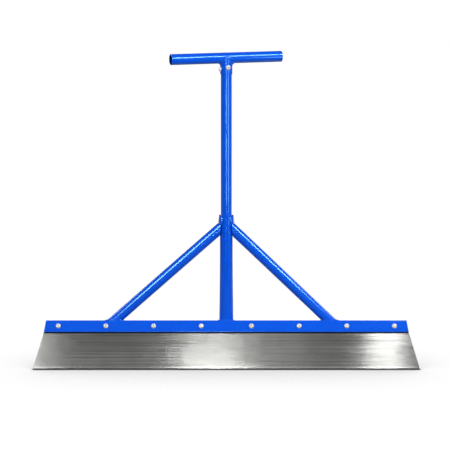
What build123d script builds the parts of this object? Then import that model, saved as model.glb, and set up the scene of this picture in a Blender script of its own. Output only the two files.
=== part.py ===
from build123d import *
import math
import os

# Floor spreader: a T handle on a round shaft, two braces, and a long steel blade bolted behind a
# slanted-end rail. Millimetres. The origin is the middle of the blade's working edge on the floor,
# +X runs along the blade, +Y points away from the blade's front face and +Z runs up the shaft.

# Blade
blade_width = 1200.0
blade_reach = 116.5
blade_thickness = 3.0
blade_rake = 20.0
blade_end_slant = 16.0
blade_top_gap = 1.0
blade_nose = 2.4

# Rail
rail_leg = 37.0
rail_thickness = 4.0
rail_end_slant = 10.0
rail_corner_radius = 2.5
rail_inner_radius = 3.0
rail_lip_radius = 2.4
rail_toe_radius = 0.8
rail_rear_margin = 3.0

# Blade bolts
bolt_centre_gap = 156.0
bolt_end_margin = 44.6
bolts_per_side = 4
bolt_diameter = 8.0
bolt_head_diameter = 16.0
bolt_head_height = 4.6
bolt_hole_clearance = 0.5
bolt_end_showing = 2.5
key_width = 5.0
key_depth = 2.8
wrench_room = 6.0
washer_diameter = 16.0
washer_thickness = 1.6
washer_clearance = 0.2
nut_width = 13.0
nut_height = 6.5
nut_collar_height = 2.0
nut_collar_diameter = 11.6
insert_thickness = 1.2
thread_clearance = 0.05

# Shape of every button head, as shares of its radius and its height
button_rim_share = 0.18
button_crown_share = 0.42
button_dome_radius_share = 0.82
button_dome_height_share = 0.72

# Shaft and its socket tube
shaft_diameter = 33.4
shaft_wall = 2.0
shaft_insert = 120.0
socket_wall = 2.7
socket_fit = 0.15
socket_top = 473.5
foot_spread = 5.0
foot_press_length = 225.0
foot_press_steps = 5
foot_press_curve = 1.4
foot_setback = 1.2

# Braces
brace_diameter = 33.4
brace_wall = 1.5
brace_spread_left = 350.0
brace_spread_right = 323.0
brace_aim_drop = 7.0
saddle_wrap = 46.0
saddle_foot_wrap = 22.0
saddle_gap = 0.1
saddle_round = 7.0
saddle_blend = 12.0
cope_gap = 1.2
cope_half_depth = 27.5

# Cross screw and its sleeve nut
cross_drop = 17.0
cross_head_diameter = 15.0
cross_head_height = 3.2
cross_seat_depth = 0.5
sleeve_diameter = 10.0
sleeve_clearance = 0.05
sleeve_end_gap = 1.0
cross_screw_diameter = 6.0
cross_screw_length = 26.0
cross_key_width = 4.0
cross_key_depth = 1.8

# Welds
weld_size = 4.0
weld_root = 0.3
handle_weld_radius = 10.0

# Handle
handle_height = 961.0
handle_length = 356.0
handle_diameter = 33.4
handle_wall = 2.0
handle_turn = 18.0
handle_edge_round = 0.6
stub_wall = 1.8
stub_fit = 0.1
stub_length = 49.0
stub_ear_rise = 13.0
shaft_top_gap = 2.0
clamp_diameter = 8.0
clamp_head_diameter = 15.5
clamp_head_height = 4.4
clamp_front_drop = 28.0
clamp_side_drop = 34.0
clamp_tip_gap = 0.1

# The blade's own plane: local x along the blade, local y up its slope, local z out of its front face
rake = math.radians(blade_rake)
slope = Plane(origin=(0, 0, 0), x_dir=(1, 0, 0), z_dir=(0, -math.cos(rake), math.sin(rake)))
blade_face = blade_thickness / 2
rail_face = blade_face + rail_thickness
rail_top = blade_reach + rail_leg
rail_underside = rail_top - rail_thickness
blade_top = rail_underside - rail_inner_radius - blade_top_gap
bolt_row = rail_underside - washer_diameter / 2 - wrench_room
rail_half_width = blade_width / 2 - blade_reach * math.tan(math.radians(blade_end_slant))
bolt_run = rail_half_width - bolt_end_margin - bolt_centre_gap / 2
bolt_pitch = bolt_run / (bolts_per_side - 1)
bolt_steps = [bolt_centre_gap / 2 + step * bolt_pitch for step in range(bolts_per_side)]
bolt_places = [-step for step in bolt_steps] + bolt_steps

# The top of the rail, which the feet of the tubes stand on, and the shaft's place behind its front edge
rail_corner = slope.from_local_coords((0, rail_top, rail_face))
seat = Plane(origin=rail_corner, x_dir=(1, 0, 0), z_dir=slope.y_dir)
socket_bore = shaft_diameter / 2 + socket_fit
socket_radius = socket_bore + socket_wall
foot_half_width = socket_radius + foot_spread / 2
foot_half_depth = socket_radius - foot_spread / 2
shaft_y = rail_corner.Y + foot_setback + foot_half_depth
rail_depth = (foot_setback + 2 * foot_half_depth + rail_rear_margin) / math.cos(rake)
seat_z = rail_corner.Z - (shaft_y - rail_corner.Y) * math.tan(rake)
shaft_line = Pos(0, shaft_y, 0)

# Where the braces and the cross screw meet the shaft
cross_z = socket_top - cross_drop
brace_aim_z = cross_z - brace_aim_drop
brace_rise = brace_aim_z - seat_z
brace_radius = brace_diameter / 2
saddle_inner = socket_radius + saddle_gap
saddle_outer = saddle_inner + 2 * brace_wall
cross_seat = saddle_outer - cross_seat_depth

# The handle's own radii
handle_radius = handle_diameter / 2
stub_bore = shaft_diameter / 2 + stub_fit
stub_radius = stub_bore + stub_wall
handle_frame = Pos(0, shaft_y, handle_height) * Rot(0, 0, handle_turn)


def upright(radius, low, high):
    """Solid round bar along Z between two heights."""
    return Pos(0, 0, (low + high) / 2) * Cylinder(radius, high - low)


def hexagon(across_flats, height):
    """Six sided bar standing on z = 0."""
    return extrude(RegularPolygon(across_flats / math.sqrt(3), 6), height)


def button_screw(head_diameter, head_height, shank_diameter, shank_length, hex_width, hex_depth):
    """Button head screw along Z, its head seated on z = 0 and its shank below."""
    head_radius = head_diameter / 2
    rim = head_height * button_rim_share
    crown = head_radius * button_crown_share
    outline = Polyline((0, 0), (head_radius, 0), (head_radius, rim))
    dome_middle = (head_radius * button_dome_radius_share, head_height * button_dome_height_share)
    dome = ThreePointArc((head_radius, rim), dome_middle, (crown, head_height))
    close = Polyline((crown, head_height), (0, head_height), (0, 0))
    head = revolve(Plane.XZ * make_face(outline + dome + close), Axis.Z)
    key = Pos(0, 0, head_height - hex_depth) * hexagon(hex_width, hex_depth)
    return head - key + upright(shank_diameter / 2, -shank_length, 0)


def on_rail_face(x, depth):
    """Place on the bolt row, a depth behind the rail's front face, facing out of it."""
    point = slope.from_local_coords((x, bolt_row, rail_face - depth))
    return Plane(origin=point, x_dir=(1, 0, 0), z_dir=slope.z_dir)


def bolt_holes():
    """Drillings through the rail and the blade on the bolt row."""
    reach = rail_thickness + blade_thickness
    drill = upright(bolt_diameter / 2 + bolt_hole_clearance, -2 * reach, reach)
    return [on_rail_face(x, 0) * drill for x in bolt_places]


def blade_half_width(height):
    """Half the blade's width at a height up its slope."""
    return blade_width / 2 - height * math.tan(math.radians(blade_end_slant))


def make_blade():
    low = -blade_thickness
    outline = Polygon(
        (-blade_half_width(low), low),
        (blade_half_width(low), low),
        (blade_half_width(blade_top), blade_top),
        (-blade_half_width(blade_top), blade_top),
        align=None,
    )
    plate = extrude(slope * outline, blade_thickness / 2, both=True)
    plate = split(plate, bisect_by=Plane.XY, keep=Keep.TOP)
    nose_depth = blade_face / math.cos(rake) - blade_nose * math.tan(rake)
    return split(plate, bisect_by=Plane.XZ.offset(nose_depth), keep=Keep.BOTTOM) - bolt_holes()


def make_rail():
    back = rail_face - rail_depth
    corners = Polygon(
        (blade_face, blade_reach),
        (rail_face, blade_reach),
        (rail_face, rail_top),
        (back, rail_top),
        (back, rail_underside),
        (blade_face, rail_underside),
        align=None,
    )
    inner_corner = corners.vertices().sort_by_distance((blade_face, rail_underside))[0]
    angle = fillet(inner_corner, rail_inner_radius)
    outer_corner = angle.vertices().sort_by_distance((rail_face, rail_top))[0]
    angle = fillet(outer_corner, rail_corner_radius)
    lip = angle.vertices().sort_by_distance((rail_face, blade_reach))[0]
    angle = fillet(lip, rail_lip_radius)
    blade_toe = angle.vertices().sort_by_distance((blade_face, blade_reach))[0]
    rear_toes = angle.vertices().sort_by(Axis.X)[:2]
    angle = fillet([blade_toe, *rear_toes], rail_toe_radius)
    section = Plane(origin=(0, 0, 0), x_dir=slope.z_dir, z_dir=(-1, 0, 0))
    bar = extrude(section * angle, rail_half_width, both=True)
    top_half_width = rail_half_width - rail_leg * math.tan(math.radians(rail_end_slant))
    outline = Polygon(
        (-rail_half_width, blade_reach),
        (rail_half_width, blade_reach),
        (top_half_width, rail_top),
        (-top_half_width, rail_top),
        align=None,
    )
    return bar & extrude(slope * outline, rail_depth, both=True) - bolt_holes()


def make_blade_bolts():
    grip = rail_thickness + blade_thickness + washer_thickness
    length = grip + nut_height + nut_collar_height + bolt_end_showing
    bolt = button_screw(
        bolt_head_diameter,
        bolt_head_height,
        bolt_diameter,
        length,
        key_width,
        key_depth,
    )
    return Compound([on_rail_face(x, 0) * bolt for x in bolt_places])


def make_blade_washers():
    ring = upright(washer_diameter / 2, -washer_thickness, 0)
    ring -= upright(bolt_diameter / 2 + washer_clearance, -washer_thickness, 0)
    return Compound([on_rail_face(x, rail_thickness + blade_thickness) * ring for x in bolt_places])


def nut_place(x):
    """Place behind the washer, facing out of the rail's front face."""
    return on_rail_face(x, rail_thickness + blade_thickness + washer_thickness)


def make_blade_nuts():
    bore = bolt_diameter / 2 + thread_clearance
    total = nut_height + nut_collar_height
    on_base = (Align.CENTER, Align.CENTER, Align.MIN)
    facing = Cone(nut_width / 2, nut_width / 2 + nut_height, nut_height, align=on_base)
    body = Pos(0, 0, -nut_height) * (hexagon(nut_width, nut_height) & facing)
    body += upright(nut_collar_diameter / 2, -total, -nut_height)
    body -= upright(bore, -total, 0)
    body -= upright(bore + insert_thickness, -total, -nut_height)
    return Compound([nut_place(x) * body for x in bolt_places])


def make_nut_inserts():
    bore = bolt_diameter / 2 + thread_clearance
    total = nut_height + nut_collar_height
    ring = upright(bore + insert_thickness, -total, -nut_height) - upright(bore, -total, -nut_height)
    return Compound([nut_place(x) * ring for x in bolt_places])


def pressed_tube(inset):
    """Outside of the socket tube, or its bore when inset by the wall: pressed oval at its foot."""
    low = seat_z - foot_half_depth
    sections = []
    for step in range(foot_press_steps + 1):
        share = step / foot_press_steps
        height = low + foot_press_length * (1 - share)
        press = foot_spread / 2 * share**foot_press_curve
        oval = Ellipse(socket_radius + press - inset, socket_radius - press - inset)
        sections.append(Pos(0, 0, height) * oval)
    return loft(sections, ruled=True) + upright(socket_radius - inset, low + foot_press_length, socket_top)


def cross_drilling():
    """Hole for the sleeve nut through the shaft, the socket tube and both saddles."""
    reach = 2 * saddle_outer
    drill = Rot(0, 90, 0) * Cylinder(sleeve_diameter / 2 + sleeve_clearance, 2 * reach)
    return shaft_line * Pos(0, 0, cross_z) * drill


def make_socket_tube():
    tube = shaft_line * (pressed_tube(0) - pressed_tube(socket_wall))
    return split(tube, bisect_by=seat, keep=Keep.TOP) - cross_drilling()


def make_shaft():
    low = socket_top - shaft_insert
    high = handle_height - handle_radius - shaft_top_gap
    radius = shaft_diameter / 2
    tube = upright(radius, low, high) - upright(radius - shaft_wall, low, high)
    return shaft_line * tube - cross_drilling()


def brace_lean(spread):
    """Degrees that a brace leans in to the shaft when its foot stands a spread to the right of it."""
    return math.degrees(math.atan2(spread, brace_rise))


def brace_run(spread, radius):
    """Round bar along such a brace's axis, from below the rail up to the point it aims at."""
    bar = upright(radius, -brace_diameter, math.hypot(spread, brace_rise))
    return Pos(spread, shaft_y, seat_z) * Rot(0, -brace_lean(spread), 0) * bar


def tab_window():
    """Outline of the pressed tab seen from the side, cut straight through a brace on the right."""
    low = brace_aim_z - brace_radius
    wide = saddle_outer * math.sin(math.radians(saddle_wrap))
    narrow = saddle_outer * math.sin(math.radians(saddle_foot_wrap))
    outline = Polygon(
        (-narrow, low),
        (narrow, low),
        (wide, cross_z),
        (wide, socket_top),
        (-wide, socket_top),
        (-wide, cross_z),
        align=None,
    )
    upper_corners = outline.vertices().sort_by(Axis.Y)[2:]
    outline = fillet(upper_corners, saddle_round)
    return shaft_line * extrude(Plane.YZ * outline, 2 * saddle_outer)


def saddle(spread):
    """Pressed upper end of such a brace: a tab round the socket tube, blended into the brace."""
    low = brace_aim_z - 2 * brace_diameter
    pillar = shaft_line * upright(saddle_outer, low, socket_top)
    joined = pillar + split(brace_run(spread, brace_radius), bisect_by=Plane.YZ, keep=Keep.TOP)
    seam = [e for e in joined.edges() if e.geom_type == GeomType.BSPLINE]
    blend = fillet(seam, saddle_blend) - joined
    tab = pillar - shaft_line * upright(saddle_inner, low, socket_top)
    return (tab + blend) & tab_window()


def make_brace(spread):
    """Brace whose foot stands a spread to the right of the shaft."""
    cope = extrude(Ellipse(socket_radius + cope_gap, cope_half_depth), socket_top)
    tube = brace_run(spread, brace_radius) - shaft_line * cope
    tube = split(tube, bisect_by=seat, keep=Keep.TOP)
    tube = split(tube, bisect_by=Plane.YZ, keep=Keep.TOP)
    tube -= brace_run(spread, brace_radius - brace_wall)
    tube = tube + saddle(spread) - cross_drilling()
    head_room = upright(cross_head_diameter / 2 + cope_gap, cross_seat, 2 * saddle_outer)
    return tube - shaft_line * Pos(0, 0, cross_z) * Rot(0, 90, 0) * head_room


def make_cross_sleeve():
    length = 2 * cross_seat - sleeve_end_gap
    head = button_screw(
        cross_head_diameter,
        cross_head_height,
        sleeve_diameter,
        length,
        cross_key_width,
        cross_key_depth,
    )
    bore = upright(cross_screw_diameter / 2 + thread_clearance, -length, -length + cross_screw_length)
    return shaft_line * Pos(cross_seat, 0, cross_z) * Rot(0, 90, 0) * (head - bore)


def make_cross_screw():
    screw = button_screw(
        cross_head_diameter,
        cross_head_height,
        cross_screw_diameter,
        cross_screw_length,
        cross_key_width,
        cross_key_depth,
    )
    return shaft_line * Pos(-cross_seat, 0, cross_z) * Rot(0, -90, 0) * screw


def foot_weld(centre, long_dir, half_long, half_short, climb):
    """Weld collar on the rail round the oval foot of a tube that climbs a given way."""
    base = Plane(origin=centre, x_dir=long_dir, z_dir=seat.z_dir)
    rise = weld_size / climb.dot(seat.z_dir)
    crest = Plane(origin=centre + climb * rise, x_dir=long_dir, z_dir=seat.z_dir)
    wide = base * Ellipse(half_long + weld_size, half_short + weld_size)
    narrow = crest * Ellipse(half_long + weld_root, half_short + weld_root)
    front = Plane(origin=rail_corner, x_dir=(1, 0, 0), z_dir=-slope.z_dir)
    return split(loft([wide, narrow], ruled=True), bisect_by=front, keep=Keep.TOP)


def make_socket_weld():
    centre = Vector(0, shaft_y, seat_z)
    half_short = foot_half_depth / math.cos(rake)
    collar = foot_weld(centre, Vector(1, 0, 0), foot_half_width, half_short, Vector(0, 0, 1))
    return collar - shaft_line * pressed_tube(0)


def make_brace_weld(spread):
    """Weld round the foot of such a brace."""
    centre = Vector(spread, shaft_y, seat_z)
    lean = math.radians(brace_lean(spread))
    climb = Vector(-math.sin(lean), 0, math.cos(lean))
    square = climb.dot(seat.z_dir)
    along = climb - seat.z_dir * square
    collar = foot_weld(centre, along, brace_radius / square, brace_radius, climb)
    return collar - brace_run(spread, brace_radius)


def handle_cylinder(radius):
    """Round bar of the handle's length along the local X axis."""
    return Rot(0, 90, 0) * Cylinder(radius, handle_length)


def make_handle_bar():
    bar = handle_cylinder(handle_radius) - handle_cylinder(handle_radius - handle_wall)
    rims = bar.edges().filter_by(GeomType.CIRCLE)
    return handle_frame * fillet(rims, handle_edge_round)


def stub_outside():
    """Outside of the stub, with a domed top whose two ears lie on the front and back of the bar."""
    dome = scale(Sphere(stub_radius), by=(1, 1, stub_ear_rise / stub_radius))
    return upright(stub_radius, -stub_length, 0) + dome


def clamp_front_place():
    """Seat of the front clamp screw on the stub, facing out."""
    return Pos(0, -stub_radius, -clamp_front_drop) * Rot(90, 0, 0)


def clamp_side_place():
    """Seat of the side clamp screw on the stub, facing out."""
    return Pos(-stub_radius, 0, -clamp_side_drop) * Rot(0, -90, 0)


def make_handle_socket():
    stub = stub_outside() - handle_cylinder(handle_radius) - upright(stub_bore, -stub_length, 0)
    drill = Cylinder(clamp_diameter / 2 + thread_clearance, 2 * stub_radius)
    stub -= clamp_front_place() * drill
    stub -= clamp_side_place() * drill
    return handle_frame * stub


def make_handle_weld():
    joined = handle_cylinder(handle_radius) + stub_outside()
    seam = [e for e in joined.edges() if e.geom_type in (GeomType.BSPLINE, GeomType.OTHER)]
    return handle_frame * (fillet(seam, handle_weld_radius) - joined)


def make_clamp_screw(place):
    length = stub_radius - shaft_diameter / 2 - clamp_tip_gap
    screw = button_screw(
        clamp_head_diameter,
        clamp_head_height,
        clamp_diameter,
        length,
        key_width,
        key_depth,
    )
    return handle_frame * place * screw


pieces = {
    "blade": make_blade(),
    "rail": make_rail(),
    "blade_bolts": make_blade_bolts(),
    "blade_washers": make_blade_washers(),
    "blade_nuts": make_blade_nuts(),
    "nut_inserts": make_nut_inserts(),
    "socket_tube": make_socket_tube(),
    "socket_weld": make_socket_weld(),
    "shaft": make_shaft(),
    "brace_right": make_brace(brace_spread_right),
    "brace_left": mirror(make_brace(brace_spread_left), about=Plane.YZ),
    "brace_weld_right": make_brace_weld(brace_spread_right),
    "brace_weld_left": mirror(make_brace_weld(brace_spread_left), about=Plane.YZ),
    "cross_sleeve": make_cross_sleeve(),
    "cross_screw": make_cross_screw(),
    "handle_bar": make_handle_bar(),
    "handle_socket": make_handle_socket(),
    "handle_weld": make_handle_weld(),
    "clamp_screw_front": make_clamp_screw(clamp_front_place()),
    "clamp_screw_side": make_clamp_screw(clamp_side_place()),
}

os.makedirs("parts", exist_ok=True)
for name, piece in pieces.items():
    export_step(piece, f"parts/{name}.step")
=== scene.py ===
import math

import bmesh
import bpy
from bpy.props import FloatProperty, FloatVectorProperty, PointerProperty
from bpy.types import Operator, Panel, PropertyGroup
from mathutils import Matrix, Vector


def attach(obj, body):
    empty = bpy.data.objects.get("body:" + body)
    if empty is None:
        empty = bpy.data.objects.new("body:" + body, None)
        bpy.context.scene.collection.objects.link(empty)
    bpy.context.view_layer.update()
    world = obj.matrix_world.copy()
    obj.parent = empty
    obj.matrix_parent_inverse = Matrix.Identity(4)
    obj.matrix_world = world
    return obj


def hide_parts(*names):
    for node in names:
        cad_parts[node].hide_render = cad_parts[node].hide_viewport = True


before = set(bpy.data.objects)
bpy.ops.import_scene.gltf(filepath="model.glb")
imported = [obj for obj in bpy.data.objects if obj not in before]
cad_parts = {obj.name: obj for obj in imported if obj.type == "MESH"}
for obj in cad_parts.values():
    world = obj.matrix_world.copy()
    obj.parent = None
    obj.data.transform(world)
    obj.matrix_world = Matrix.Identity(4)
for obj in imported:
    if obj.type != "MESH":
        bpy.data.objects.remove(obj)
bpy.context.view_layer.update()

bl_info = {
    "name": "Floor Spreader",
    "version": (1, 0, 0),
    "blender": (4, 5, 0),
    "location": "View3D > Sidebar > Spreader",
    "description": "Finishes a hand floor spreader and sets it on a studio floor",
    "category": "Object",
}

MILLIMETRE = 0.001

# Vertices closer than this are one vertex, and edges past this angle stay sharp
DOUBLES = 0.001 * MILLIMETRE
CREASE = math.radians(40)

# The blade leans back by this angle, and its own frame has x along it, y up its slope
# and z out of its face
RAKE = math.radians(20)
SLOPE = Matrix.Rotation(math.pi / 2 - RAKE, 4, "X")

# Distance of the rail's front face from the middle of the blade
RAIL_FACE = 5.5 * MILLIMETRE

# The feet of the tubes stand in a row on the rail's top, which is square to that slope
SEAT = Vector((0.0, 65.58 * MILLIMETRE, 139.48 * MILLIMETRE))
UPWARD = SLOPE.col[1].xyz

# Sides of a weld bead, and facets round a bolt and down the dome of its head
BEAD_SIDES = 12
BOLT_FACETS = 24
DOME_FACETS = 8

# Arc of that dome, turns of the bolt's thread, and bolts in each half of the blade
DOME_ARC = math.radians(76)
THREAD_TURNS = 2.5
HALF_ROW = 4

# CAD nodes by finish, without those that a new piece replaces
PAINTED = (
    "rail",
    "socket_tube",
    "shaft",
    "brace_left",
    "brace_right",
    "handle_bar",
    "handle_socket",
    "handle_weld",
)
PLATED = (
    "blade_washers",
    "blade_nuts",
    "cross_screw",
    "cross_sleeve",
    "clamp_screw_front",
    "clamp_screw_side",
)


def linear(code):
    """Linear red, green and blue of an sRGB hex value."""
    shares = [int(code[i : i + 2], 16) / 255 for i in (1, 3, 5)]
    return [s / 12.92 if s <= 0.04045 else ((s + 0.055) / 1.055) ** 2.4 for s in shares]


def add(tree, kind, values=(), links=(), **settings):
    """Add a shader node with its settings, its sockets' values and the links into it."""
    made = tree.nodes.new(kind)
    for name, setting in settings.items():
        setattr(made, name, setting)
    for socket, value in dict(values).items():
        made.inputs[socket].default_value = value
    for socket, source in dict(links).items():
        tree.links.new(source, made.inputs[socket])
    return made


def new_material(name):
    """Empty node material and its tree."""
    material = bpy.data.materials.new(name)
    material.use_nodes = True
    material.node_tree.nodes.clear()
    return material, material.node_tree


def everything(shape):
    """All of a bmesh's vertices, edges and faces."""
    return shape.verts[:] + shape.edges[:] + shape.faces[:]


def open_edges(shape):
    """The edges of a bmesh that have a face on one side only."""
    return [edge for edge in shape.edges if edge.is_boundary]


def copy_sideways(shape, items, distance):
    """Copy part of a bmesh and move the copy along x."""
    copy = bmesh.ops.duplicate(shape, geom=items)["geom"]
    moved = [item for item in copy if isinstance(item, bmesh.types.BMVert)]
    bmesh.ops.translate(shape, verts=moved, vec=(distance, 0.0, 0.0))


def keep(shape, name, material, node):
    """Merge a bmesh's doubles and keep it as a piece on the frame, in place of a CAD node."""
    bmesh.ops.remove_doubles(shape, verts=shape.verts, dist=DOUBLES)
    bmesh.ops.recalc_face_normals(shape, faces=shape.faces)
    for face in shape.faces:
        face.smooth = True
    mesh = bpy.data.meshes.new(name)
    shape.to_mesh(mesh)
    shape.free()
    mesh.set_sharp_from_angle(angle=CREASE)
    mesh.materials.append(bpy.data.materials[material])
    piece = bpy.data.objects.new(name, mesh)
    bpy.context.scene.collection.objects.link(piece)
    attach(piece, "frame")
    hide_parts(node)


def give(material, names):
    """Put one material on each of the CAD nodes named."""
    for name in names:
        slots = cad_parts[name].data.materials
        slots.clear()
        slots.append(material)


class PaintSettings(PropertyGroup):
    colour: FloatVectorProperty(
        name="Blue",
        description="Colour of the powder coat",
        subtype="COLOR",
        min=0.0,
        max=1.0,
        default=linear("#005AEE"),
    )
    deep_colour: FloatVectorProperty(
        name="Deep blue",
        description="Colour where the coat lies thicker",
        subtype="COLOR",
        min=0.0,
        max=1.0,
        default=linear("#0053E2"),
    )
    # Painted highlight: the rail's lower lip is painted a paler blue
    lip_highlight_colour: FloatVectorProperty(
        name="Lip highlight blue",
        description="Colour where the coat is drawn thin over the rail's lower lip",
        subtype="COLOR",
        min=0.0,
        max=1.0,
        default=linear("#5A8CF0"),
    )
    # Painted shade in the narrow gaps between the tubes
    crevice_shade_colour: FloatVectorProperty(
        name="Crevice",
        description="Colour of the dust and shade in the narrow gaps between tubes",
        subtype="COLOR",
        min=0.0,
        max=1.0,
        default=linear("#041440"),
    )
    crevice: FloatProperty(
        name="Crevice reach",
        description="Width of a gap that counts as a crevice",
        unit="LENGTH",
        default=12 * MILLIMETRE,
    )
    # Painted shade: the inside of the tubes is painted near black over the bare steel
    bore_shade_colour: FloatVectorProperty(
        name="Bore",
        description="Colour of the uncoated mill scale inside the tubes",
        subtype="COLOR",
        min=0.0,
        max=1.0,
        default=linear("#080B12"),
    )
    bore: FloatProperty(
        name="Bore reach",
        description="Reach across a tube that counts as its inside",
        unit="LENGTH",
        default=40 * MILLIMETRE,
    )
    lip_top: FloatProperty(
        name="Lip top",
        description="Height above the floor where the rail's lip starts to turn under",
        unit="LENGTH",
        default=112.5 * MILLIMETRE,
    )
    # The painted highlight on the lip fades in over this height
    lip: FloatProperty(
        name="Lip",
        description="Height over which the coat thins",
        unit="LENGTH",
        default=2 * MILLIMETRE,
    )
    peel: FloatProperty(
        name="Peel",
        description="Spacing of the coat's fine ripple",
        unit="LENGTH",
        default=2.5 * MILLIMETRE,
    )
    patch: FloatProperty(
        name="Patch",
        description="Size of the coat's thicker and thinner patches",
        unit="LENGTH",
        default=60 * MILLIMETRE,
    )


class SteelSettings(PropertyGroup):
    colour: FloatVectorProperty(
        name="Steel",
        description="Colour of the bare blade",
        subtype="COLOR",
        min=0.0,
        max=1.0,
        default=linear("#D8D8D5"),
    )
    dark_colour: FloatVectorProperty(
        name="Dark grain",
        description="Colour in the deeper brush lines",
        subtype="COLOR",
        min=0.0,
        max=1.0,
        default=linear("#969693"),
    )
    # Painted shadow: dark lines along the working edge and under the rail's lip
    painted_shadow_colour: FloatVectorProperty(
        name="Painted shadow",
        description="Colour of the grime along the working edge and under the rail's lip",
        subtype="COLOR",
        min=0.0,
        max=1.0,
        default=linear("#1C1C1A"),
    )
    # Painted light and shade: below this height the blade is painted paler towards the working edge
    polished: FloatProperty(
        name="Painted shading height",
        description="Height above the floor up to which use has polished the blade",
        unit="LENGTH",
        default=95 * MILLIMETRE,
    )
    comb: FloatProperty(
        name="Comb",
        description="Sideways lean of the brush lines, which combs the edges of a reflection",
        subtype="ANGLE",
        default=math.radians(0.3),
    )
    # Painted highlight: the working edge is painted brighter up to this height
    edge_highlight: FloatProperty(
        name="Edge highlight height",
        description="Height above the floor up to which the working edge is worn bright",
        unit="LENGTH",
        default=13 * MILLIMETRE,
    )
    mark: FloatProperty(
        name="Mark",
        description="Size of the cloudy marks that handling leaves",
        unit="LENGTH",
        default=45 * MILLIMETRE,
    )
    # Height of the painted shadow lines
    painted_shadow: FloatProperty(
        name="Grime height",
        description="Height of the lines of grime",
        unit="LENGTH",
        default=4 * MILLIMETRE,
    )
    lip: FloatProperty(
        name="Lip",
        description="Height above the floor of the rail's lip on the blade",
        unit="LENGTH",
        default=110 * MILLIMETRE,
    )
    band: FloatProperty(
        name="Brush band",
        description="Height of a band of like brush lines",
        unit="LENGTH",
        default=6 * MILLIMETRE,
    )
    band_run: FloatProperty(
        name="Brush band run",
        description="Length of a band of like brush lines along the blade",
        unit="LENGTH",
        default=900 * MILLIMETRE,
    )
    line: FloatProperty(
        name="Brush line",
        description="Height of one brush line",
        unit="LENGTH",
        default=2 * MILLIMETRE,
    )
    line_run: FloatProperty(
        name="Brush line run",
        description="Length of one brush line along the blade",
        unit="LENGTH",
        default=500 * MILLIMETRE,
    )


class ZincSettings(PropertyGroup):
    colour: FloatVectorProperty(
        name="Zinc",
        description="Colour of the bright zinc plate",
        subtype="COLOR",
        min=0.0,
        max=1.0,
        default=linear("#F0F0EE"),
    )
    warm_colour: FloatVectorProperty(
        name="Warm zinc",
        description="Colour of the plate's warmer bloom",
        subtype="COLOR",
        min=0.0,
        max=1.0,
        default=linear("#DEDBD2"),
    )
    bloom: FloatProperty(
        name="Bloom",
        description="Size of the plate's cloudy patches",
        unit="LENGTH",
        default=3 * MILLIMETRE,
    )


class NylonSettings(PropertyGroup):
    colour: FloatVectorProperty(
        name="Nylon",
        description="Colour of the lock nuts' rings",
        subtype="COLOR",
        min=0.0,
        max=1.0,
        default=linear("#E6EAEC"),
    )
    dull_colour: FloatVectorProperty(
        name="Dull nylon",
        description="Colour of the nylon's duller clouds",
        subtype="COLOR",
        min=0.0,
        max=1.0,
        default=linear("#D5DBDF"),
    )
    cloud: FloatProperty(
        name="Cloud",
        description="Size of the nylon's milky clouds",
        unit="LENGTH",
        default=2 * MILLIMETRE,
    )


class WeldSettings(PropertyGroup):
    bead: FloatProperty(
        name="Bead",
        description="Radius of a weld bead",
        unit="LENGTH",
        default=3 * MILLIMETRE,
    )
    pitch: FloatProperty(
        name="Pitch",
        description="Distance from one ripple of a bead to the next",
        unit="LENGTH",
        default=2.5 * MILLIMETRE,
    )
    ripple: FloatProperty(
        name="Ripple",
        description="Height of a bead's ripples",
        unit="LENGTH",
        default=0.3 * MILLIMETRE,
    )
    tube: FloatProperty(
        name="Tube",
        description="Radius of a brace",
        unit="LENGTH",
        default=16.7 * MILLIMETRE,
    )
    left_foot: FloatProperty(
        name="Left foot",
        description="Distance of the left brace's foot from the shaft",
        unit="LENGTH",
        default=350 * MILLIMETRE,
    )
    right_foot: FloatProperty(
        name="Right foot",
        description="Distance of the right brace's foot from the shaft",
        unit="LENGTH",
        default=323 * MILLIMETRE,
    )
    climb: FloatProperty(
        name="Climb",
        description="Height above their feet of the point that the braces aim at",
        unit="LENGTH",
        default=310 * MILLIMETRE,
    )
    socket_width: FloatProperty(
        name="Socket foot",
        description="Half the width of the socket tube's oval foot",
        unit="LENGTH",
        default=22.05 * MILLIMETRE,
    )
    socket_depth: FloatProperty(
        name="Socket foot depth",
        description="Half the depth of the socket tube's oval foot",
        unit="LENGTH",
        default=17.05 * MILLIMETRE,
    )


class BoltSettings(PropertyGroup):
    first: FloatProperty(
        name="First bolt",
        description="Distance of the first bolt from the middle of the blade",
        unit="LENGTH",
        default=78 * MILLIMETRE,
    )
    spacing: FloatProperty(
        name="Spacing",
        description="Distance from one bolt to the next",
        unit="LENGTH",
        default=148 * MILLIMETRE,
    )
    row: FloatProperty(
        name="Row",
        description="Distance of the bolts up the blade's slope",
        unit="LENGTH",
        default=135.5 * MILLIMETRE,
    )
    head: FloatProperty(
        name="Head",
        description="Radius of the button head",
        unit="LENGTH",
        default=8 * MILLIMETRE,
    )
    head_height: FloatProperty(
        name="Head height",
        description="Height of the button head",
        unit="LENGTH",
        default=4.6 * MILLIMETRE,
    )
    shank: FloatProperty(
        name="Shank",
        description="Radius of the shank",
        unit="LENGTH",
        default=4 * MILLIMETRE,
    )
    length: FloatProperty(
        name="Length",
        description="Length of the shank",
        unit="LENGTH",
        default=19.6 * MILLIMETRE,
    )
    key: FloatProperty(
        name="Key",
        description="Width across the flats of the key socket",
        unit="LENGTH",
        default=5 * MILLIMETRE,
    )
    key_depth: FloatProperty(
        name="Key depth",
        description="Depth of the key socket",
        unit="LENGTH",
        default=2.8 * MILLIMETRE,
    )
    pitch: FloatProperty(
        name="Pitch",
        description="Pitch of the thread",
        unit="LENGTH",
        default=1.25 * MILLIMETRE,
    )


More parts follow.
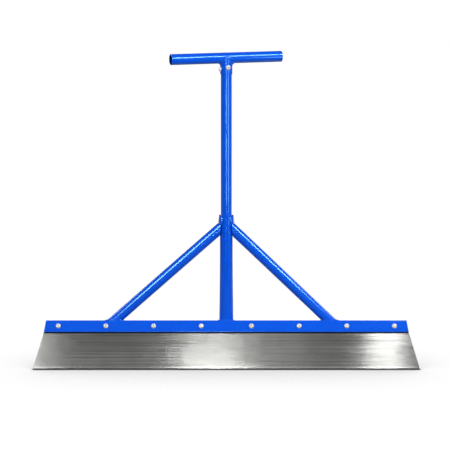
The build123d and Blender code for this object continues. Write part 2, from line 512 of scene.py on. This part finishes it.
class StageSettings(PropertyGroup):
    floor: FloatVectorProperty(
        name="Floor",
        description="Colour of the studio floor, which sets how much light it throws back",
        subtype="COLOR",
        min=0.0,
        max=1.0,
        default=linear("#545454"),
    )
    floor_lit: FloatProperty(
        name="Floor lit",
        description="Share of the floor's brightness that the lamps give, the rest is held white",
        subtype="FACTOR",
        min=0.0,
        max=1.0,
        default=0.06,
    )
    # Painted pool of light on the floor behind the blade, seen only in metal
    floor_behind: FloatProperty(
        name="Floor behind",
        description="How much more of the floor's white shows in metal close behind the blade",
        subtype="FACTOR",
        min=0.0,
        max=1.0,
        default=0.7,
    )
    floor_mirrored: FloatProperty(
        name="Floor mirrored",
        description="Share of the held white that glossy surfaces show",
        subtype="FACTOR",
        min=0.0,
        max=1.0,
        default=0.15,
    )
    shade_reach: FloatProperty(
        name="Shade reach",
        description="Distance that the soft shade reaches from the blade",
        unit="LENGTH",
        default=0.35,
    )
    contact: FloatProperty(
        name="Contact",
        description="Width of the dark line where the blade touches the floor",
        unit="LENGTH",
        default=17 * MILLIMETRE,
    )
    shade_depth: FloatProperty(
        name="Shade depth",
        description="Brightness of the floor right at the blade",
        subtype="FACTOR",
        min=0.0,
        max=1.0,
        default=0.78,
    )
    floor_width: FloatProperty(
        name="Floor width",
        description="Width of the studio floor",
        unit="LENGTH",
        default=80.0,
    )
    floor_front: FloatProperty(
        name="Floor front",
        description="Distance that the floor reaches in front of the tool",
        unit="LENGTH",
        default=1.2,
    )
    room_front: FloatProperty(
        name="Room in front",
        description="Brightness of the room in front of the tool",
        subtype="FACTOR",
        min=0.0,
        max=1.0,
        default=0.19,
    )
    room_back: FloatProperty(
        name="Room behind",
        description="Brightness of the room behind the tool",
        subtype="FACTOR",
        min=0.0,
        max=1.0,
        default=0.11,
    )
    room_below: FloatProperty(
        name="Room below",
        description="Share of the room's brightness that is left below the horizon",
        subtype="FACTOR",
        min=0.0,
        max=1.0,
        default=0.2,
    )
    lens: FloatProperty(
        name="Lens",
        description="Focal length of the camera in millimetres",
        default=192.0,
    )
    camera_height: FloatProperty(
        name="Camera height",
        description="Height of the camera above the floor",
        unit="LENGTH",
        default=1.652,
    )
    camera_distance: FloatProperty(
        name="Camera distance",
        description="Distance of the camera in front of the working edge",
        unit="LENGTH",
        default=7.262,
    )
    camera_side: FloatProperty(
        name="Camera side",
        description="Distance of the camera to the right of the shaft",
        unit="LENGTH",
        default=-4 * MILLIMETRE,
    )
    camera_tilt: FloatProperty(
        name="Camera tilt",
        description="Angle of the camera below the horizon",
        subtype="ANGLE",
        default=math.radians(9.369),
    )


class SpreaderSettings(PropertyGroup):
    paint: PointerProperty(type=PaintSettings)
    steel: PointerProperty(type=SteelSettings)
    zinc: PointerProperty(type=ZincSettings)
    nylon: PointerProperty(type=NylonSettings)
    weld: PointerProperty(type=WeldSettings)
    bolt: PointerProperty(type=BoltSettings)
    stage: PointerProperty(type=StageSettings)


# Gloss powder coat on steel: a deep saturated blue with a tight highlight and a faint peel in it,
# and a painted highlight along the rail's lower lip. Painted shade darkens the narrow gaps between
# the tubes, and inside the tubes painted shade turns the bare steel near black.
def powder_coat(paint):
    material, tree = new_material("blue_powder_coat")
    place = add(tree, "ShaderNodeTexCoord").outputs["Object"]
    patches = add(
        tree,
        "ShaderNodeTexNoise",
        {"Scale": 1 / paint.patch, "Detail": 2.0},
        {"Vector": place},
    )
    peel = add(
        tree,
        "ShaderNodeTexNoise",
        {"Scale": 1 / paint.peel, "Detail": 1.0},
        {"Vector": place},
    )
    tint = add(
        tree,
        "ShaderNodeMix",
        {"A": (*paint.deep_colour, 1.0), "B": (*paint.colour, 1.0)},
        {"Factor": patches.outputs["Fac"]},
        data_type="RGBA",
    )
    height = add(tree, "ShaderNodeSeparateXYZ", links={0: place}).outputs["Z"]
    # Painted highlight along the rail's lower lip
    thin = add(
        tree,
        "ShaderNodeMapRange",
        {"From Min": paint.lip_top, "From Max": paint.lip_top - paint.lip},
        {"Value": height},
        interpolation_type="SMOOTHSTEP",
    )
    painted = add(
        tree,
        "ShaderNodeMix",
        {"B": (*paint.lip_highlight_colour, 1.0)},
        {"Factor": thin.outputs["Result"], "A": tint.outputs["Result"]},
        data_type="RGBA",
    )
    # Painted shade: ambient occlusion darkens the coat in narrow gaps
    crevice = add(tree, "ShaderNodeAmbientOcclusion", {"Distance": paint.crevice}, samples=4)
    clear = add(
        tree,
        "ShaderNodeMapRange",
        {"From Min": 0.2, "From Max": 0.75},
        {"Value": crevice.outputs["AO"]},
    )
    shaded = add(
        tree,
        "ShaderNodeMix",
        {"A": (*paint.crevice_shade_colour, 1.0)},
        {"Factor": clear.outputs["Result"], "B": painted.outputs["Result"]},
        data_type="RGBA",
    )
    # Painted shade inside the tubes, from ambient occlusion within the piece itself
    inside = add(
        tree,
        "ShaderNodeAmbientOcclusion",
        {"Distance": paint.bore},
        samples=4,
        only_local=True,
    )
    open_side = add(
        tree,
        "ShaderNodeMapRange",
        {"From Min": 0.55, "From Max": 0.9},
        {"Value": inside.outputs["AO"]},
    )
    coat = add(
        tree,
        "ShaderNodeMix",
        {"A": (*paint.bore_shade_colour, 1.0)},
        {"Factor": open_side.outputs["Result"], "B": shaded.outputs["Result"]},
        data_type="RGBA",
    )
    gloss = add(
        tree,
        "ShaderNodeMapRange",
        {"To Min": 0.1, "To Max": 0.14},
        {"Value": patches.outputs["Fac"]},
    )
    ripple = add(
        tree,
        "ShaderNodeBump",
        {"Strength": 0.1, "Distance": 0.01 * MILLIMETRE},
        {"Height": peel.outputs["Fac"]},
    )
    shader = add(
        tree,
        "ShaderNodeBsdfPrincipled",
        {"IOR": 1.5, "Specular IOR Level": 1.0, "Specular Tint": (0.35, 0.75, 1.0, 1.0)},
        {
            "Base Color": coat.outputs["Result"],
            "Roughness": gloss.outputs["Result"],
            "Normal": ripple.outputs["Normal"],
        },
    )
    add(tree, "ShaderNodeOutputMaterial", links={"Surface": shader.outputs["BSDF"]})
    return material


# Cold rolled steel brushed along the blade: grey with long fine lines that smear reflections up
# and down. It is painted paler towards the working edge and darker under the rail, as painted light
# and shade, brighter still along the working edge as a painted highlight, and dark in two thin
# lines of painted shadow along the working edge and under the rail's lip. Each brush line leans a
# little to one side, which combs the sides of a reflection. Real brush lines are about 0.1 mm high,
# too fine to show, so they are drawn coarser.
def brushed_steel(steel):
    material, tree = new_material("brushed_blade_steel")
    place = add(tree, "ShaderNodeTexCoord").outputs["Object"]
    height = add(tree, "ShaderNodeSeparateXYZ", links={0: place}).outputs["Z"]
    bands = add(
        tree,
        "ShaderNodeMapping",
        {"Scale": (1 / steel.band_run, 1 / steel.band, 1 / steel.band)},
        {"Vector": place},
    )
    band = add(
        tree,
        "ShaderNodeTexNoise",
        {"Scale": 1.0, "Detail": 2.0, "Roughness": 0.6},
        {"Vector": bands.outputs["Vector"]},
    )
    lines = add(
        tree,
        "ShaderNodeMapping",
        {"Scale": (1 / steel.line_run, 1 / steel.line, 1 / steel.line)},
        {"Vector": place},
    )
    line = add(
        tree,
        "ShaderNodeTexNoise",
        {"Scale": 1.0, "Detail": 2.0, "Roughness": 0.7},
        {"Vector": lines.outputs["Vector"]},
    )
    grain = add(
        tree,
        "ShaderNodeMix",
        {"Factor": 0.45},
        {"A": band.outputs["Fac"], "B": line.outputs["Fac"]},
    )
    depth = add(
        tree,
        "ShaderNodeMapRange",
        {"From Min": 0.38, "From Max": 0.62},
        {"Value": grain.outputs["Result"]},
    )
    tint = add(
        tree,
        "ShaderNodeMix",
        {"A": (*steel.dark_colour, 1.0), "B": (*steel.colour, 1.0)},
        {"Factor": depth.outputs["Result"]},
        data_type="RGBA",
    )
    # Painted light and shade: paler towards the working edge, darker under the rail
    painted_shading = add(
        tree,
        "ShaderNodeMapRange",
        {"From Min": steel.polished, "From Max": 0.0, "To Min": 1.0, "To Max": 1.3},
        {"Value": height},
    )
    # Painted highlight along the working edge
    painted_edge_highlight = add(
        tree,
        "ShaderNodeMapRange",
        {
            "From Min": steel.edge_highlight,
            "From Max": steel.edge_highlight / 2,
            "To Min": 1.0,
            "To Max": 1.4,
        },
        {"Value": height},
    )
    marks = add(
        tree,
        "ShaderNodeTexNoise",
        {"Scale": 1 / steel.mark, "Detail": 2.0},
        {"Vector": place},
    )
    handled = add(
        tree,
        "ShaderNodeMapRange",
        {"From Min": 0.35, "From Max": 0.65, "To Min": 0.95, "To Max": 1.05},
        {"Value": marks.outputs["Fac"]},
    )
    painted = add(
        tree,
        "ShaderNodeMath",
        links={0: painted_shading.outputs["Result"], 1: painted_edge_highlight.outputs["Result"]},
        operation="MULTIPLY",
    )
    shine = add(
        tree,
        "ShaderNodeMath",
        links={0: painted.outputs["Value"], 1: handled.outputs["Result"]},
        operation="MULTIPLY",
    )
    # Painted shadow lines along the working edge and under the rail's lip
    edge = add(
        tree,
        "ShaderNodeMapRange",
        {"From Min": steel.painted_shadow, "From Max": 0.8 * steel.painted_shadow},
        {"Value": height},
    )
    under = add(
        tree,
        "ShaderNodeMapRange",
        {"From Min": steel.lip - steel.painted_shadow, "From Max": steel.lip - 0.8 * steel.painted_shadow},
        {"Value": height},
    )
    painted_shadow = add(
        tree,
        "ShaderNodeMath",
        links={0: edge.outputs["Result"], 1: under.outputs["Result"]},
        operation="MAXIMUM",
    )
    face = add(
        tree,
        "ShaderNodeVectorMath",
        links={0: tint.outputs["Result"], "Scale": shine.outputs["Value"]},
        operation="SCALE",
    )
    shaded = add(
        tree,
        "ShaderNodeMix",
        {"B": (*steel.painted_shadow_colour, 1.0)},
        {"Factor": painted_shadow.outputs["Value"], "A": face.outputs["Vector"]},
        data_type="RGBA",
    )
    gloss = add(
        tree,
        "ShaderNodeMapRange",
        {"To Min": 0.2, "To Max": 0.13},
        {"Value": depth.outputs["Result"]},
    )
    lean = add(
        tree,
        "ShaderNodeMapRange",
        {"To Min": -steel.comb, "To Max": steel.comb},
        {"Value": depth.outputs["Result"]},
    )
    sideways = add(tree, "ShaderNodeCombineXYZ", links={"X": lean.outputs["Result"]})
    flat = add(tree, "ShaderNodeNewGeometry").outputs["Normal"]
    tilted = add(
        tree,
        "ShaderNodeVectorMath",
        links={0: flat, 1: sideways.outputs["Vector"]},
        operation="ADD",
    )
    combed = add(
        tree, "ShaderNodeVectorMath", links={0: tilted.outputs["Vector"]}, operation="NORMALIZE"
    )
    relief = add(
        tree,
        "ShaderNodeBump",
        {"Strength": 0.2, "Distance": 0.02 * MILLIMETRE},
        {"Height": grain.outputs["Result"], "Normal": combed.outputs["Vector"]},
    )
    across = add(tree, "ShaderNodeCombineXYZ", {"Z": 1.0})
    shader = add(
        tree,
        "ShaderNodeBsdfPrincipled",
        {"Metallic": 1.0, "Anisotropic": 1.0},
        {
            "Base Color": shaded.outputs["Result"],
            "Roughness": gloss.outputs["Result"],
            "Normal": relief.outputs["Normal"],
            "Tangent": across.outputs["Vector"],
        },
    )
    add(tree, "ShaderNodeOutputMaterial", links={"Surface": shader.outputs["BSDF"]})
    return material


# Bright zinc plate: silvery white, with a chalky bloom of oxide that softens its reflections
def zinc_plate(zinc):
    material, tree = new_material("bright_zinc_plate")
    place = add(tree, "ShaderNodeTexCoord").outputs["Object"]
    bloom = add(
        tree,
        "ShaderNodeTexNoise",
        {"Scale": 1 / zinc.bloom, "Detail": 2.0},
        {"Vector": place},
    )
    tint = add(
        tree,
        "ShaderNodeMix",
        {"A": (*zinc.warm_colour, 1.0), "B": (*zinc.colour, 1.0)},
        {"Factor": bloom.outputs["Fac"]},
        data_type="RGBA",
    )
    gloss = add(
        tree,
        "ShaderNodeMapRange",
        {"To Min": 0.3, "To Max": 0.45},
        {"Value": bloom.outputs["Fac"]},
    )
    chalk = add(
        tree,
        "ShaderNodeMapRange",
        {"To Min": 0.25, "To Max": 0.55},
        {"Value": bloom.outputs["Fac"]},
    )
    shader = add(
        tree,
        "ShaderNodeBsdfPrincipled",
        links={
            "Base Color": tint.outputs["Result"],
            "Metallic": chalk.outputs["Result"],
            "Roughness": gloss.outputs["Result"],
        },
    )
    add(tree, "ShaderNodeOutputMaterial", links={"Surface": shader.outputs["BSDF"]})
    return material


# Moulded natural nylon: milky white and slightly waxy
def natural_nylon(nylon):
    material, tree = new_material("natural_nylon")
    place = add(tree, "ShaderNodeTexCoord").outputs["Object"]
    cloud = add(
        tree,
        "ShaderNodeTexNoise",
        {"Scale": 1 / nylon.cloud, "Detail": 1.0},
        {"Vector": place},
    )
    tint = add(
        tree,
        "ShaderNodeMix",
        {"A": (*nylon.dull_colour, 1.0), "B": (*nylon.colour, 1.0)},
        {"Factor": cloud.outputs["Fac"]},
        data_type="RGBA",
    )
    shader = add(
        tree,
        "ShaderNodeBsdfPrincipled",
        {"IOR": 1.53, "Roughness": 0.45},
        {"Base Color": tint.outputs["Result"]},
    )
    add(tree, "ShaderNodeOutputMaterial", links={"Surface": shader.outputs["BSDF"]})
    return material


class SPREADER_OT_painted_frame(Operator):
    """Powder coat the handle, the shaft with its socket tube, the braces and the rail"""

    bl_idname = "spreader.painted_frame"
    bl_label = "Painted frame"

    def execute(self, context):
        give(powder_coat(context.scene.spreader.paint), PAINTED)
        return {"FINISHED"}


class SPREADER_OT_blade(Operator):
    """Brush the steel blade along its length"""

    bl_idname = "spreader.blade"
    bl_label = "Blade"

    def execute(self, context):
        give(brushed_steel(context.scene.spreader.steel), ["blade"])
        return {"FINISHED"}


def weld_bead(weld, foot, along, half_long, half_short):
    """Rippled bead on the rail round a tube's oval foot, cut flush with the rail's front face."""
    bead = bmesh.new()
    bmesh.ops.create_circle(bead, segments=BEAD_SIDES, radius=weld.bead)
    bmesh.ops.rotate(bead, verts=bead.verts, matrix=Matrix.Rotation(math.pi / 2, 3, "X"))
    proud = weld.bead / 4
    bmesh.ops.translate(bead, verts=bead.verts, vec=(half_short + proud, 0.0, proud))
    steps = 2 * round(math.pi * (half_long + half_short) / weld.pitch)
    bmesh.ops.spin(
        bead,
        geom=bead.edges[:],
        axis=(0.0, 0.0, 1.0),
        angle=2 * math.pi,
        steps=steps,
        use_merge=True,
    )
    bmesh.ops.recalc_face_normals(bead, faces=bead.faces)
    bead.normal_update()
    for vert in bead.verts:
        ring = round(math.atan2(vert.co.y, vert.co.x) * steps / (2 * math.pi))
        if ring % 2:
            vert.co += weld.ripple * vert.normal
    bmesh.ops.scale(bead, verts=bead.verts, vec=(half_long / half_short, 1.0, 1.0))
    turned = Matrix((along, UPWARD.cross(along), UPWARD)).transposed().to_4x4()
    bmesh.ops.transform(bead, verts=bead.verts, matrix=Matrix.Translation(foot) @ turned)
    bmesh.ops.bisect_plane(
        bead,
        geom=everything(bead),
        plane_co=SLOPE @ Vector((0.0, 0.0, RAIL_FACE)),
        plane_no=SLOPE.col[2].xyz,
        clear_outer=True,
    )
    bmesh.ops.holes_fill(bead, edges=open_edges(bead))
    return bead


class SPREADER_OT_welds(Operator):
    """Run rippled weld beads round the feet of the socket tube and the braces"""

    bl_idname = "spreader.welds"
    bl_label = "Welds"

    def execute(self, context):
        weld = context.scene.spreader.weld
        sideways = Vector((1.0, 0.0, 0.0))
        depth = weld.socket_depth / math.cos(RAKE)
        oval = weld_bead(weld, SEAT, sideways, weld.socket_width, depth)
        keep(oval, "socket_bead", "blue_powder_coat", "socket_weld")
        for side, spread in (("left", -weld.left_foot), ("right", weld.right_foot)):
            climb = Vector((-spread, 0.0, weld.climb)).normalized()
            square = climb.dot(UPWARD)
            along = (climb - square * UPWARD).normalized()
            foot = SEAT + spread * sideways
            oval = weld_bead(weld, foot, along, weld.tube / square, weld.tube)
            bead, node = "brace_bead_" + side, "brace_weld_" + side
            keep(oval, bead, "blue_powder_coat", node)
        return {"FINISHED"}


def turned_bolt(bolt):
    """Button head bolt along z, seated at z = 0: a turned outline, a key socket and a thread."""
    shape = bmesh.new()
    crown = 0.42 * bolt.head
    rim = 0.018 * bolt.head_height
    root = bolt.shank - 0.5 * bolt.pitch
    # The dome is an arc about a point just under the head
    centre = Vector((0.408 * bolt.head, 0.0, -0.056 * bolt.head_height))
    start = shape.verts.new((crown, 0.0, bolt.head_height))
    bmesh.ops.spin(
        shape,
        geom=[start],
        cent=centre,
        axis=(0.0, 1.0, 0.0),
        angle=DOME_ARC,
        steps=DOME_FACETS,
    )
    tail = max(shape.verts, key=lambda vert: vert.co.x)
    # From the rim over the seat and down the shank to the thread's core, its chamfer and the end
    for radius, height in (
        (bolt.head, rim),
        (0.98 * bolt.head, 0.0),
        (bolt.shank, 0.0),
        (bolt.shank, -0.8 * bolt.length),
        (root, -0.84 * bolt.length),
        (root, -0.98 * bolt.length),
        (0.9 * root, -bolt.length),
        (0.0, -bolt.length),
    ):
        corner = shape.verts.new((radius, 0.0, height))
        shape.edges.new((tail, corner))
        tail = corner
    bmesh.ops.spin(
        shape,
        geom=shape.edges[:],
        axis=(0.0, 0.0, 1.0),
        angle=2 * math.pi,
        steps=BOLT_FACETS,
        use_merge=True,
    )
    bmesh.ops.remove_doubles(shape, verts=shape.verts, dist=DOUBLES)

    # The key socket, from the dome's open crown down to a flat floor
    crown_edges = open_edges(shape)
    top = Matrix.Translation((0.0, 0.0, bolt.head_height))
    bmesh.ops.create_circle(shape, segments=6, radius=bolt.key / math.sqrt(3), matrix=top)
    flats = [edge for edge in shape.edges if edge.is_wire]
    bmesh.ops.subdivide_edges(shape, edges=flats, cuts=3)
    flats = [edge for edge in shape.edges if edge.is_wire]
    bmesh.ops.bridge_loops(shape, edges=crown_edges + flats)
    wall = bmesh.ops.extrude_edge_only(shape, edges=open_edges(shape))["geom"]
    floor = [item for item in wall if isinstance(item, bmesh.types.BMVert)]
    bmesh.ops.translate(shape, verts=floor, vec=(0.0, 0.0, -bolt.key_depth))
    bmesh.ops.holes_fill(shape, edges=open_edges(shape))

    # The thread is one ridge wound up the core from the end, with its foot just inside the core
    crest = -0.975 * bolt.length
    foot = 0.97 * root
    flank = 0.4 * bolt.pitch
    ridge = [
        shape.verts.new((radius, 0.0, crest + offset))
        for radius, offset in ((foot, -flank), (bolt.shank, 0.0), (foot, flank))
    ]
    profile = [shape.edges.new((ridge[i - 1], ridge[i])) for i in range(3)]
    bmesh.ops.spin(
        shape,
        geom=profile,
        axis=(0.0, 0.0, 1.0),
        dvec=(0.0, 0.0, bolt.pitch / BOLT_FACETS),
        angle=2 * math.pi * THREAD_TURNS,
        steps=round(THREAD_TURNS * BOLT_FACETS),
    )
    bmesh.ops.holes_fill(shape, edges=open_edges(shape))
    return shape


class SPREADER_OT_bolts(Operator):
    """Turn the eight blade bolts with their domed heads, key sockets and threaded ends"""

    bl_idname = "spreader.bolts"
    bl_label = "Bolts"

    def execute(self, context):
        bolt = context.scene.spreader.bolt
        row = turned_bolt(bolt)
        single = everything(row)
        bmesh.ops.translate(row, verts=row.verts, vec=(bolt.first, bolt.row, RAIL_FACE))
        for step in range(1, HALF_ROW):
            copy_sideways(row, single, step * bolt.spacing)
        copy_sideways(row, everything(row), -2 * bolt.first - (HALF_ROW - 1) * bolt.spacing)
        bmesh.ops.transform(row, verts=row.verts, matrix=SLOPE)
        keep(row, "threaded_bolts", "bright_zinc_plate", "blade_bolts")
        return {"FINISHED"}


class SPREADER_OT_fasteners(Operator):
    """Zinc plate the screws, nuts and washers and mould the nylon rings"""

    bl_idname = "spreader.fasteners"
    bl_label = "Fasteners"

    def execute(self, context):
        spreader = context.scene.spreader
        give(zinc_plate(spreader.zinc), PLATED)
        give(natural_nylon(spreader.nylon), ["nut_inserts"])
        return {"FINISHED"}


# The lamps: name, place, point faced, width, height, radiance and roll in degrees
LAMPS = (
    # Highlights along the handle, the right brace and the left brace
    ("handle_softbox", (2.7, -2.55, 4.05), (0, 0, 0.6), 1.1, 0.5, 40.0, 0.0),
    ("right_softbox", (2.72, -1.4, 2.355), (0.2, 0, 0.3), 1.2, 0.5, 16.0, 20.0),
    ("left_softbox", (-2.19, -2.2, 2.0), (-0.1, 0, 0.3), 1.3, 0.72, 13.5, -37.0),
    # The lines down the shaft, and with the last two the band on the middle of the blade
    ("right_card", (2.2, -2.05, 0.34), (0, 0, 0.34), 0.8, 0.64, 6.5, 0.0),
    ("front_card", (-0.071, -3.0, 0.34), (-0.071, 0, 0.34), 0.252, 0.64, 21.0, 0.0),
    ("upper_card", (-0.071, -3.0, 0.82), (-0.071, 0, 0.82), 0.252, 0.32, 5.6, 0.0),
    # Light for the tool's back
    ("back_right_softbox", (2.8, 2.2, 1.3), (0, 0, 0.5), 1.4, 1.2, 5.0, 0.0),
    ("back_left_softbox", (-2.8, 2.2, 1.3), (0, 0, 0.5), 1.4, 1.2, 5.0, 0.0),
    # The soft end of the blade's middle band, and the bands at its right and left
    ("tail_strip", (0.2, -2.5, 3.12), (0.2, 0, 0.05), 0.4, 1.9, 1.2, 0.0),
    ("right_strip", (0.628, -1.23, 1.54), (0.628, 0, 0.05), 0.135, 0.95, 13.0, 0.0),
    ("left_strip", (-1.0, -2.5, 3.12), (-1.0, 0, 0.05), 0.25, 1.9, 9.5, 0.0),
)


def softbox(name, place, look_at, width, height, radiance, roll):
    """Rectangular studio lamp of an even radiance that the camera itself doesn't see."""
    lamp = bpy.data.lights.new(name, "AREA")
    lamp.shape = "RECTANGLE"
    lamp.size = width
    lamp.size_y = height
    lamp.energy = radiance * math.pi * width * height
    made = bpy.data.objects.new(name, lamp)
    made.location = place
    made.rotation_euler = (Vector(look_at) - Vector(place)).to_track_quat("-Z", "Y").to_euler()
    made.rotation_euler.rotate_axis("Z", math.radians(roll))
    made.visible_camera = False
    bpy.context.scene.collection.objects.link(made)


# Seamless studio paper: plain white with a soft grey shade where the blade meets it
def floor_paper(stage):
    material, tree = new_material("white_studio_paper")
    rays = add(tree, "ShaderNodeLightPath")
    place = add(tree, "ShaderNodeTexCoord").outputs["Object"]
    depth = add(tree, "ShaderNodeSeparateXYZ", links={0: place}).outputs["Y"]
    # In metal it shows a painted pool of light, paler from the blade's foot to less than a metre
    # behind it
    behind = add(
        tree,
        "ShaderNodeMapRange",
        {"From Max": 0.08, "To Max": stage.floor_behind},
        {"Value": depth},
    )
    close = add(
        tree,
        "ShaderNodeMapRange",
        {"From Min": 0.8, "From Max": 0.3},
        {"Value": depth},
    )
    bright = add(
        tree,
        "ShaderNodeMath",
        {2: stage.floor_mirrored},
        {0: behind.outputs["Result"], 1: close.outputs["Result"]},
        operation="MULTIPLY_ADD",
    )
    mirrored = add(
        tree,
        "ShaderNodeMath",
        links={0: rays.outputs["Is Glossy Ray"], 1: bright.outputs["Value"]},
        operation="MULTIPLY",
    )
    direct = add(
        tree,
        "ShaderNodeMath",
        links={0: rays.outputs["Is Camera Ray"], 1: mirrored.outputs["Value"]},
        operation="MAXIMUM",
    )
    seen = add(
        tree,
        "ShaderNodeMath",
        links={0: direct.outputs["Value"], 1: rays.outputs["Is Transmission Ray"]},
        operation="MAXIMUM",
    )
    near = add(tree, "ShaderNodeAmbientOcclusion", {"Distance": stage.shade_reach}, samples=4)
    soft = add(
        tree,
        "ShaderNodeMapRange",
        {"From Min": 0.7, "From Max": 0.96, "To Min": stage.shade_depth, "To Max": 1.07},
        {"Value": near.outputs["AO"]},
    )
    touch = add(tree, "ShaderNodeAmbientOcclusion", {"Distance": stage.contact}, samples=4)
    line = add(
        tree,
        "ShaderNodeMapRange",
        {"From Min": 0.7, "From Max": 0.95},
        {"Value": touch.outputs["AO"]},
    )
    shade = add(
        tree,
        "ShaderNodeMath",
        links={0: soft.outputs["Result"], 1: line.outputs["Result"]},
        operation="MULTIPLY",
    )
    held = add(
        tree,
        "ShaderNodeMath",
        {1: 1 - stage.floor_lit},
        {0: seen.outputs["Value"]},
        operation="MULTIPLY",
    )
    matte = add(tree, "ShaderNodeBsdfDiffuse", {"Color": (*stage.floor, 1.0)})
    white = add(tree, "ShaderNodeEmission", links={"Strength": shade.outputs["Value"]})
    paper = add(
        tree,
        "ShaderNodeMixShader",
        links={0: held.outputs["Value"], 1: matte.outputs["BSDF"], 2: white.outputs["Emission"]},
    )
    add(tree, "ShaderNodeOutputMaterial", links={"Surface": paper.outputs["Shader"]})
    return material


def studio_floor(stage):
    """Lay the paper, which reaches far behind the tool and a little in front of it."""
    sheet = bmesh.new()
    bmesh.ops.create_grid(sheet, x_segments=1, y_segments=1, size=stage.floor_width / 2)
    behind = stage.floor_width / 2 - stage.floor_front
    bmesh.ops.translate(sheet, verts=sheet.verts, vec=(0.0, behind, 0.0))
    mesh = bpy.data.meshes.new("studio_floor")
    sheet.to_mesh(mesh)
    sheet.free()
    mesh.materials.append(floor_paper(stage))
    floor = bpy.data.objects.new("studio_floor", mesh)
    bpy.context.scene.collection.objects.link(floor)


def studio_world(stage):
    """Surround the tool with white for the camera, and with a dim room for all other rays."""
    world = bpy.data.worlds.new("studio")
    world.use_nodes = True
    tree = world.node_tree
    tree.nodes.clear()
    rays = add(tree, "ShaderNodeLightPath")
    direction = add(tree, "ShaderNodeTexCoord").outputs["Generated"]
    axes = add(tree, "ShaderNodeSeparateXYZ", links={0: direction})
    front = add(
        tree,
        "ShaderNodeMapRange",
        {
            "From Min": -0.4,
            "From Max": 0.5,
            "To Min": stage.room_front,
            "To Max": stage.room_back,
        },
        {"Value": axes.outputs["Y"]},
        interpolation_type="SMOOTHSTEP",
    )
    above = add(
        tree,
        "ShaderNodeMapRange",
        {"From Min": -0.3, "From Max": 0.1, "To Min": stage.room_below, "To Max": 1.0},
        {"Value": axes.outputs["Z"]},
        interpolation_type="SMOOTHSTEP",
    )
    room = add(
        tree,
        "ShaderNodeMath",
        links={0: front.outputs["Result"], 1: above.outputs["Result"]},
        operation="MULTIPLY",
    )
    seen = add(
        tree,
        "ShaderNodeMath",
        links={0: rays.outputs["Is Camera Ray"], 1: rays.outputs["Is Transmission Ray"]},
        operation="MAXIMUM",
    )
    level = add(
        tree,
        "ShaderNodeMix",
        {"B": 1.0},
        {"Factor": seen.outputs["Value"], "A": room.outputs["Value"]},
    )
    sky = add(
        tree,
        "ShaderNodeBackground",
        {"Color": (1.0, 1.0, 1.0, 1.0)},
        {"Strength": level.outputs["Result"]},
    )
    add(tree, "ShaderNodeOutputWorld", links={"Surface": sky.outputs["Background"]})
    bpy.context.scene.world = world


def studio_camera(stage):
    """Set up the camera in front of the tool, looking slightly down on it."""
    camera = bpy.data.cameras.new("camera")
    camera.sensor_width = 36.0
    camera.lens = stage.lens
    viewer = bpy.data.objects.new("camera", camera)
    viewer.location = (stage.camera_side, -stage.camera_distance, stage.camera_height)
    viewer.rotation_euler = (math.pi / 2 - stage.camera_tilt, 0.0, 0.0)
    bpy.context.scene.collection.objects.link(viewer)
    bpy.context.scene.camera = viewer


class SPREADER_OT_stage(Operator):
    """Lay the studio floor, hang the lamps and set up the camera"""

    bl_idname = "spreader.stage"
    bl_label = "Stage"

    def execute(self, context):
        stage = context.scene.spreader.stage
        context.scene.view_settings.view_transform = "Standard"
        studio_floor(stage)
        studio_world(stage)
        for lamp in LAMPS:
            softbox(*lamp)
        studio_camera(stage)
        return {"FINISHED"}


OPERATORS = (
    SPREADER_OT_painted_frame,
    SPREADER_OT_welds,
    SPREADER_OT_blade,
    SPREADER_OT_fasteners,
    SPREADER_OT_bolts,
    SPREADER_OT_stage,
)


class SPREADER_PT_panel(Panel):
    """Lists the spreader's pieces in the order they are made"""

    bl_label = "Floor spreader"
    bl_idname = "SPREADER_PT_panel"
    bl_space_type = "VIEW_3D"
    bl_region_type = "UI"
    bl_category = "Spreader"

    def draw(self, context):
        for operator in OPERATORS:
            self.layout.operator(operator.bl_idname)


CLASSES = (
    PaintSettings,
    SteelSettings,
    ZincSettings,
    NylonSettings,
    WeldSettings,
    BoltSettings,
    StageSettings,
    SpreaderSettings,
    *OPERATORS,
    SPREADER_PT_panel,
)


def register():
    for kind in CLASSES:
        bpy.utils.register_class(kind)
    bpy.types.Scene.spreader = PointerProperty(type=SpreaderSettings)


def unregister():
    del bpy.types.Scene.spreader
    for kind in reversed(CLASSES):
        bpy.utils.unregister_class(kind)


def main():
    register()
    bpy.ops.spreader.painted_frame()
    bpy.ops.spreader.welds()
    bpy.ops.spreader.blade()
    bpy.ops.spreader.fasteners()
    bpy.ops.spreader.bolts()
    bpy.ops.spreader.stage()


if __name__ == "__main__":
    main()
